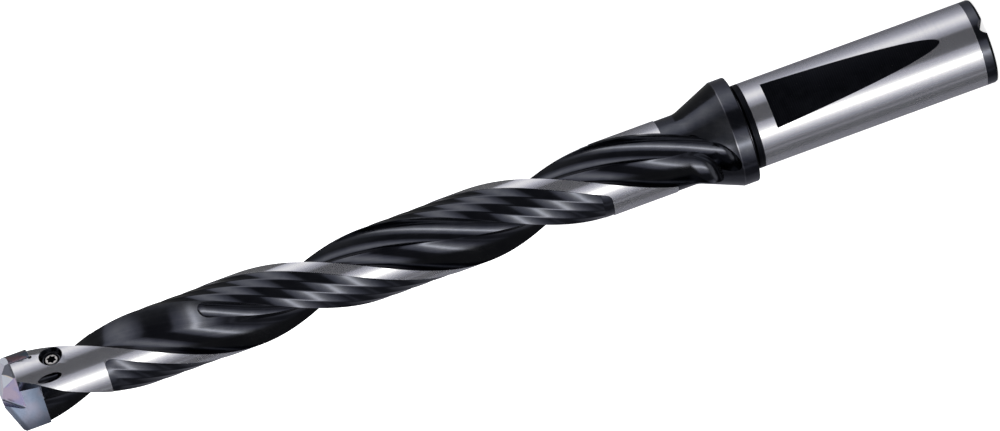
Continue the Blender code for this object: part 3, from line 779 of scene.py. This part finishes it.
def turned_profile():
    slope = atan2(COLLAR_R - NECK_R, NECK_Z - CONE_Z)
    reach = NECK_FILLET * tan(slope / 2)
    profile = [(NECK_R, REAR_LAND_Z + OVERRUN / 2)]
    for i in range(FILLET_STEPS + 1):
        a = slope * i / FILLET_STEPS
        profile.append((NECK_R + NECK_FILLET * (1 - cos(a)), NECK_Z + reach - NECK_FILLET * sin(a)))
    return profile + [
        (COLLAR_R - 0.00008, CONE_Z + 0.00012), (COLLAR_R, CONE_Z - 0.00002),
        (COLLAR_R, SHANK_LENGTH + EDGE_BREAK), (COLLAR_R - 0.00006, SHANK_LENGTH + 0.00006),
        (COLLAR_R - EDGE_BREAK, SHANK_LENGTH), (SHANK_R + FACE_RECESS, SHANK_LENGTH),
        (SHANK_R, SHANK_LENGTH + EDGE_BREAK), (SHANK_R - UNDERCUT, SHANK_LENGTH),
        (SHANK_R - UNDERCUT, SHANK_LENGTH - UNDERCUT), (SHANK_R, SHANK_LENGTH - 2 * UNDERCUT),
        (SHANK_R, GROUND_HIGH), (SHANK_R, GROUND_LOW), (SHANK_R, 0.0005),
        (SHANK_R - 0.00015, 0.00015), (SHANK_R - 0.0005, 0.0),
    ]


def paint(bm, index, test):
    """Give a material to the faces whose corners all pass a test, apart from the end faces."""
    for face in bm.faces:
        if len(face.verts) < 5 and all(test(v.co) for v in face.verts):
            face.material_index = index


def combined(item, others, operation):
    """The mesh of an item with a Boolean of others, which are removed."""
    group = bpy.data.collections.new("operands")
    for other in others:
        for old in list(other.users_collection):
            old.objects.unlink(other)
        group.objects.link(other)
    step = item.modifiers.new("with", "BOOLEAN")
    step.operation = operation
    step.solver = "EXACT"
    step.operand_type = "COLLECTION"
    step.collection = group
    step.material_mode = "TRANSFER"
    bpy.context.view_layer.update()
    shaped = item.evaluated_get(bpy.context.evaluated_depsgraph_get())
    mesh = bpy.data.meshes.new_from_object(shaped)
    item.modifiers.remove(step)
    item.data = mesh
    for other in others:
        bpy.data.objects.remove(other, do_unlink=True)
    bpy.data.collections.remove(group)


def true_normals(mesh):
    """Shade ground cylinders by their axis, and let large faces outweigh narrow bevels."""
    meeting = [[] for _ in mesh.vertices]
    for face in mesh.polygons:
        for v in face.vertices:
            meeting[v].append(face.index)
    normals = [corner.vector.copy() for corner in mesh.corner_normals]
    flat = len(mesh.polygons) < FEW_FACES
    for face in mesh.polygons:
        reaches = [mesh.vertices[v].co.xy.length for v in face.vertices]
        ground = (BODY_R, SHANK_R, COLLAR_R)
        turned = abs(face.normal.z) < 0.02 and any(abs(reaches[0] - r) < 3 * WELD for r in ground)
        turned = turned and all(abs(r - reaches[0]) < 3 * WELD for r in reaches)
        for loop in face.loop_indices:
            v = mesh.loops[loop].vertex_index
            if turned:
                normals[loop] = Vector((*mesh.vertices[v].co.xy, 0.0)).normalized()
            elif flat:
                near = [mesh.polygons[i] for i in meeting[v]]
                near = [f for f in near if f.normal.dot(face.normal) > 0.6]
                normals[loop] = sum((f.normal * f.area for f in near), Vector()).normalized()
    mesh.normals_split_custom_set(normals)


def finish_piece(item, name, node, angle=30.0):
    """Turn a piece to its place, shade it, and let it stand for its CAD node."""
    bm = bmesh.new()
    bm.from_mesh(item.data)
    bmesh.ops.remove_doubles(bm, verts=bm.verts, dist=WELD)
    bmesh.ops.dissolve_degenerate(bm, edges=bm.edges, dist=WELD / 2)
    bmesh.ops.transform(bm, matrix=Matrix.Rotation(radians(PLATE_TURN), 4, "Z"), verts=bm.verts)
    bmesh.ops.recalc_face_normals(bm, faces=bm.faces)
    bm.to_mesh(item.data)
    bm.free()
    item.data.shade_smooth()
    item.data.set_sharp_from_angle(angle=radians(angle))
    true_normals(item.data)
    item.name = name
    item.data.name = name
    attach(item, "root")
    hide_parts(node)


def gullet(side):
    """The space in front of a rake face, whose wall leans back towards the point."""
    face = HALF_PLATE + SHOWN_GAP
    foot = SEAT_Z - SHOWN_GAP
    rise = LAND_END_Z - foot
    turn = Matrix.Rotation(pi * side, 2)
    heights = [foot + rise * i / GULLET_STEPS for i in range(GULLET_STEPS + 1)]
    rings = []
    for z in heights + [CORNER_Z + OVERRUN]:
        share = min(1.0, (z - foot) / rise)
        start = Vector((GULLET_FOOT + GULLET_DRIFT * share, face))
        shape = [start, (CUTTER_R, face), (CUTTER_R, CUTTER_R), (0.0, CUTTER_R + OVERRUN),
                 start + point(CUTTER_R, GULLET_TURN + GULLET_OPENING * share)]
        rings.append((z, [turn @ Vector(p) for p in shape]))
    return grow(rings)


def cut_per_flute(side):
    """The cutters that each flute has, by name."""
    made = [("pass", grow(rings)) for rings in flute_rings(side)]
    face = (HALF_PLATE + SHOWN_GAP) * (1 - 2 * side)
    foot = SEAT_Z - SHOWN_GAP
    stretch = 1 + OVERRUN / BODY_R
    outlet = radial(BODY_R * stretch, DUCT_TURN + 180 * side, BRANCH_Z + DUCT_FALL * stretch)
    return made + [
        ("gullet", gullet(side)),
        ("floor_relief", bar(FLOOR_RELIEF, (-CUTTER_R, face, foot), (CUTTER_R, face, foot))),
        ("duct", bar(DUCT_DIAMETER, (0, 0, BRANCH_Z - DUCT_OVERLAP), outlet)),
    ]


def cut_once():
    """The other cutters of the seat, the screw's hole and the coolant holes, by name."""
    wide = HALF_PLATE + SHOWN_GAP
    slot = pushed([(-CUTTER_R, -wide), (CUTTER_R, -wide), (CUTTER_R, wide), (-CUTTER_R, wide)],
                  Matrix.Translation((0, 0, SEAT_Z - SHOWN_GAP)), CUTTER_R * 2)
    floor_r = BODY_R - COUNTERBORE_DEPTH
    mouth = COUNTERBORE_FLOOR + COUNTERBORE_FLARE * (CUTTER_R - floor_r) / (BODY_R - floor_r)
    outside = radial(CUTTER_R, SCREW_TURN, SCREW_Z)
    return [
        ("slot", slot),
        ("stem_bore", bar(STEM_BORE, (0, 0, SEAT_Z - STEM_BORE_DEPTH), (0, 0, SEAT_Z + OVERRUN))),
        ("counterbore", bar(COUNTERBORE_FLOOR, radial(floor_r, SCREW_TURN, SCREW_Z), outside,
                            COUNTERBORE_SIDES, mouth)),
        ("screw_hole", bar(SCREW_HOLE, radial(SCREW_HOLE_FOOT, SCREW_TURN, SCREW_Z), outside,
                           BORE_SIDES)),
        ("inlet", bar(INLET_DIAMETER, (0, 0, -OVERRUN), (0, 0, INLET_DEPTH), BORE_SIDES)),
        ("supply", bar(SUPPLY_DIAMETER, (0, 0, SUPPLY_START), (0, 0, BRANCH_Z))),
    ]


def clamping_flat():
    """The long tapering flat, drawn from the side and pushed across the shank."""
    rise = FLAT_DEPTH + OVERRUN
    slope = tan(radians(FLAT_SLOPE))
    side_view = [(FLAT_FRONT, SHANK_R - FLAT_DEPTH), (FLAT_FRONT + rise * slope, SHANK_R + OVERRUN),
                 (FLAT_FRONT - rise / slope, SHANK_R + OVERRUN)]
    outward = radial(1, FLAT_TURN, 0)
    across = outward.cross(Vector((0, 0, 1)))
    place = basis(Vector((0, 0, 1)), outward, across, -across * SHANK_R)
    return pushed(side_view, place, 2 * SHANK_R)


def make_body(ground, black, milled):
    rings = []
    for z, corner, plain, scalloped in land_rings():
        half = land_half(corner, plain, scalloped)
        outline = [point(r, turn - other) for other in (0.0, 180.0) for r, turn in half]
        rings.append(twisted(outline, z))
    lands = grow(rings)
    paint(lands, 1, lambda p: p.xy.length > BODY_R - 2 * WELD)
    body = solid("body", lands, black, ground)
    turned = spun(turned_profile(), TURNED_SIDES)
    paint(turned, 1, lambda p: GROUND_LOW - ON_EDGE < p.z < GROUND_HIGH + ON_EDGE)
    paint(turned, 2, lambda p: GROUND_HIGH - ON_EDGE < p.z < SHANK_LENGTH - 0.0001)
    combined(body, [solid("turned", turned, black, ground, milled)], "UNION")

    cutters = [solid(name, bm, black) for side in (0, 1) for name, bm in cut_per_flute(side)]
    cutters += [solid(name, bm, black) for name, bm in cut_once()]
    cutters.append(solid("flat", clamping_flat(), milled))
    groove = bar(REAR_GROOVE_WIDTH, radial(-CUTTER_R, FLAT_TURN, REAR_GROOVE_Z),
                 radial(CUTTER_R, FLAT_TURN, REAR_GROOVE_Z), BORE_SIDES)
    cutters.append(solid("rear_groove", groove, black))
    combined(body, cutters, "DIFFERENCE")
    finish_piece(body, "dressed_body", "drill_body")


def plane_cut(bm, place, normal):
    geometry = list(bm.verts) + list(bm.edges) + list(bm.faces)
    cut = bmesh.ops.bisect_plane(bm, geom=geometry, plane_co=place, plane_no=normal,
                                 clear_outer=True, dist=WELD / 10)
    bmesh.ops.contextual_create(bm, geom=of_kind(cut["geom_cut"], bmesh.types.BMEdge))


def thinning(side):
    """The gash that thins the web at the point."""
    turn = Matrix.Rotation(pi * side, 4, "Z")
    r = THINNING_RADIUS
    start = Vector((-r, HALF_WEB, POINT_Z))
    end = Vector((THINNING_REACH, HALF_PLATE, POINT_Z - THINNING_DROP))
    rise = (start - end).normalized()
    across = (Vector((1, 0, 0)) - rise * rise.x).normalized()
    place = basis(across, rise.cross(across), rise, end - rise * INSERT_R)
    shape = arc(Vector((0, r)), r, 0.0, -90.0, THINNING_STEPS)
    shape += [(-INSERT_R, 0.0), (-INSERT_R, INSERT_R), (r, INSERT_R)]
    return pushed(shape, turn @ place, 3 * INSERT_R)


def second_relief(side):
    """The steeper relief behind a flank, which leaves the hub standing."""
    turn = Matrix.Rotation(pi * side, 4, "Z")
    slope = radians(SECOND_RELIEF)
    lean = radians(HUB_LEAN)
    fall = Vector((0, cos(slope), -sin(slope)))
    along = Vector((sin(lean), 0, 0)) + fall * cos(lean)
    away = Vector((-cos(lean), 0, 0)) + fall * sin(lean)
    place = basis(away, along.cross(away), along,
                  Vector((-HUB_REACH, HALF_PLATE, LAND_END_Z + HUB_RISE)) - along * INSERT_R)
    wall = point(INSERT_R, 180.0 - HUB_WALL_ANGLE)
    shape = [(0.0, 0.0), (INSERT_R, 0.0), (INSERT_R, INSERT_R), (wall.x, INSERT_R), wall]
    return pushed(shape, turn @ place, 2 * INSERT_R)


def soften(item, offset, angle):
    """Round the sharp edges of a mesh a little, so that they catch the light."""
    bm = bmesh.new()
    bm.from_mesh(item.data)
    bmesh.ops.remove_doubles(bm, verts=bm.verts, dist=WELD)
    bmesh.ops.dissolve_limit(bm, angle_limit=radians(0.3), verts=bm.verts, edges=bm.edges)
    sharp = [e for e in bm.edges if len(e.link_faces) == 2 and e.calc_face_angle(0.0) > radians(angle)]
    bmesh.ops.bevel(bm, geom=sharp, offset=offset, offset_type="OFFSET", segments=2,
                    profile=0.5, affect="EDGES", clamp_overlap=True, material=-1)
    bm.to_mesh(item.data)
    bm.free()


def make_insert(coating):
    bm = bmesh.new()
    height = CORNER_Z - SEAT_Z
    bmesh.ops.create_cone(bm, cap_ends=True, segments=INSERT_SIDES, radius1=INSERT_R,
                          radius2=INSERT_R, depth=2 * height)
    bmesh.ops.translate(bm, verts=bm.verts, vec=(0, 0, SEAT_Z + height))
    corner = Vector((EDGE_REACH, HALF_PLATE, CORNER_Z))
    chamfer = corner - Vector((0, 0, CORNER_CHAMFER))
    for turn in (Matrix.Identity(3), Matrix.Rotation(pi, 3, "Z")):
        plane_cut(bm, turn @ Vector((0, HALF_PLATE, 0)), turn @ Vector((0, 1, 0)))
        plane_cut(bm, turn @ corner, turn @ Vector((POINT_SLOPE, -RELIEF_SLOPE, 1)))
        plane_cut(bm, turn @ chamfer, turn @ Vector((1, -RELIEF_SLOPE, 1)))
    insert = solid("insert", bm, coating)
    stem = bar(STEM_DIAMETER, (0, 0, SEAT_Z - STEM_LENGTH), (0, 0, SEAT_Z + OVERRUN), BORE_SIDES)
    combined(insert, [solid("stem", stem, coating)], "UNION")
    flat = bar(STEM_DIAMETER, radial(STEM_FLAT_R, SCREW_TURN, SCREW_Z),
               radial(STEM_DIAMETER, SCREW_TURN, SCREW_Z))
    cutters = [solid("stem_flat", flat, coating)]
    for side in (0, 1):
        cutters.append(solid("thinning", thinning(side), coating))
        cutters.append(solid("second_relief", second_relief(side), coating))
    combined(insert, cutters, "DIFFERENCE")
    soften(insert, EDGE_ROUNDING, 20.0)
    finish_piece(insert, "dressed_insert", "cutting_insert", 25.0)


def make_screw(steel, black):
    foot = STEM_FLAT_R + SEAT_GAP
    length = BODY_R - SCREW_RECESS - foot
    profile = [(SCREW_R - EDGE_BREAK, length), (SCREW_R - 0.00006, length - 0.00006),
               (SCREW_R, length - EDGE_BREAK), (SCREW_R, SCREW_R - SCREW_POINT_R),
               (SCREW_POINT_R, 0.0)]
    bm = spun(profile, SCREW_SIDES)
    place = Matrix.Translation(radial(foot, SCREW_TURN, SCREW_Z)) @ radial(
        1, SCREW_TURN, 0).to_track_quat("Z", "Y").to_matrix().to_4x4()
    bmesh.ops.transform(bm, matrix=place, verts=bm.verts)
    screw = solid("screw", bm, steel)
    shape = []
    for i in range(SOCKET_POINTS):
        turn = 360.0 * i / SOCKET_POINTS
        lobed = 1 - SOCKET_WAVE + SOCKET_WAVE * cos(radians(6 * turn))
        shape.append(point(SOCKET_R * lobed, turn))
    socket = pushed(shape, place @ Matrix.Translation((0, 0, length - SOCKET_DEPTH)), 3 * SOCKET_DEPTH)
    combined(screw, [solid("socket", socket, black)], "DIFFERENCE")
    finish_piece(screw, "dressed_screw", "clamp_screw")


# Stage: a white floor, and a ring of studio panels that only the object's reflections show

def emission(tree, strength=1.0):
    node = tree.nodes.new("ShaderNodeEmission")
    plug(tree, strength, node.inputs["Strength"])
    return node


def put_out(tree, shader):
    output = tree.nodes.new("ShaderNodeOutputMaterial")
    tree.links.new(shader.outputs[0], output.inputs[0])


def panels_finish():
    material, tree = new_material("studio_panels")
    brightest = 1.1 * max(level for _, level in PANELS)

    def grey(level):
        return (level / brightest,) * 3

    _, x, y, z = spot(tree)
    turn = maths(tree, "ARCTAN2", times(tree, x, -1.0), times(tree, y, -1.0))
    node = tree.nodes.new("ShaderNodeValToRGB")
    tree.links.new(maths(tree, "MULTIPLY_ADD", turn, 1 / (2 * pi), 0.5), node.inputs[0])
    stops = node.color_ramp.elements
    while len(stops) < len(PANELS):
        stops.new(0.5)
    for stop, (angle, _) in zip(stops, PANELS):
        stop.position = (angle + 180.0) / 360.0
    for stop, (_, level) in zip(stops, PANELS):
        warm = min(1.0, max(0.0, level - 0.5))
        tint = [cold + (hot - cold) * warm for cold, hot in zip(COLD_TINT, WARM_TINT)]
        stop.color = (*(t * level / brightest for t in tint), 1.0)

    flag = times(tree, ramp(tree, turn, *map(radians, FLAG_TURNS)), ramp(tree, z, FLAG_START, FLAG_END))
    shown = mix(tree, flag, node.outputs[0], grey(FLAG_LEVEL))
    above = ramp(tree, z, PANEL_TOP, PANEL_TOP + PANEL_TOP_FADE)
    shown = mix(tree, above, shown, grey(ABOVE_LEVEL))
    below = ramp(tree, z, PANEL_FOOT, PANEL_FOOT - PANEL_FOOT_FADE)
    shown = mix(tree, below, shown, grey(BELOW_LEVEL))
    behind = times(tree, ramp(tree, maths(tree, "ABSOLUTE", turn), *BEHIND_TURNS),
                   ramp(tree, z, BEHIND_START, BEHIND_END))
    overhead = maths(tree, "MAXIMUM", behind, ramp(tree, z, OVERHEAD_START, OVERHEAD_END))
    shown = mix(tree, overhead, shown, grey(OVERHEAD_LEVEL))
    light = emission(tree, brightest)
    tree.links.new(shown, light.inputs["Color"])
    put_out(tree, light)
    return material


def floor_finish():
    """White by its own glow, dimmed near the drill's foot as painted shading, over a matt coat that takes
    its shadow.
    """
    material, tree = new_material("white_floor")
    _, x, y, _ = spot(tree)
    # Painted shading: the glow falls from 1.0 to 0.78 near the drill's foot, darkening the floor there.
    glow = emission(tree, ramp(tree, from_axis(tree, x, y), 0.02, 0.12, 0.78, 1.0))
    path = tree.nodes.new("ShaderNodeLightPath")
    seen = maths(tree, "MAXIMUM", path.outputs["Is Glossy Ray"], path.outputs["Is Transmission Ray"])
    seen = maths(tree, "MAXIMUM", path.outputs["Is Camera Ray"], seen)
    shown = tree.nodes.new("ShaderNodeMixShader")
    tree.links.new(seen, shown.inputs[0])
    tree.links.new(emission(tree, 0.0).outputs[0], shown.inputs[1])
    tree.links.new(glow.outputs[0], shown.inputs[2])
    matt = tree.nodes.new("ShaderNodeBsdfDiffuse")
    matt.inputs["Color"].default_value = (0.85, 0.85, 0.85, 1.0)
    both = tree.nodes.new("ShaderNodeAddShader")
    tree.links.new(matt.outputs[0], both.inputs[0])
    tree.links.new(shown.outputs[0], both.inputs[1])
    put_out(tree, both)
    return material


def make_stage():
    bm = bmesh.new()
    bmesh.ops.create_cone(bm, cap_ends=False, segments=180, radius1=RING_R, radius2=RING_R,
                          depth=RING_HEIGHT)
    bmesh.ops.translate(bm, verts=bm.verts, vec=(0, 0, RING_TOP - RING_HEIGHT / 2))
    upper = [e for e in bm.edges if all(v.co.z > RING_TOP - 0.01 for v in e.verts)]
    bmesh.ops.contextual_create(bm, geom=upper)
    ring = solid("studio_ring", bm, panels_finish())
    ring.visible_camera = False
    ring.visible_shadow = False
    bm = bmesh.new()
    bmesh.ops.create_circle(bm, cap_ends=True, segments=96, radius=FLOOR_R)
    ground = solid("floor", bm, floor_finish())
    ground.visible_glossy = False

    world = bpy.data.worlds.new("studio")
    scene.world = world
    world.use_nodes = True
    background = world.node_tree.nodes["Background"]
    background.inputs["Color"].default_value = (1.0, 1.0, 1.0, 1.0)
    background.inputs["Strength"].default_value = 1.0


def make_camera():
    data = bpy.data.cameras.new("camera")
    data.sensor_width = 36.0
    data.lens = LENS
    data.clip_end = 100.0
    camera = bpy.data.objects.new("camera", data)
    scene.collection.objects.link(camera)
    target = Vector((0, 0, AIM_Z))
    down = radians(LOOKING_DOWN)
    place = target + Vector((0, -cos(down), sin(down))) * DISTANCE
    aim = (target - place).to_track_quat("-Z", "Y").to_matrix().to_4x4()
    camera.matrix_world = (Matrix.Translation(place) @ aim @ Matrix.Rotation(radians(ROLL), 4, "Z")
                           @ Matrix.Translation(CAMERA_OFFSET))
    scene.camera = camera


black_oxide = black_finish()
make_body(ground_finish(), black_oxide, milled_finish())
make_insert(coating_finish())
make_screw(screw_finish(), black_oxide)
make_stage()
make_camera()
scene.view_settings.view_transform = "Standard"
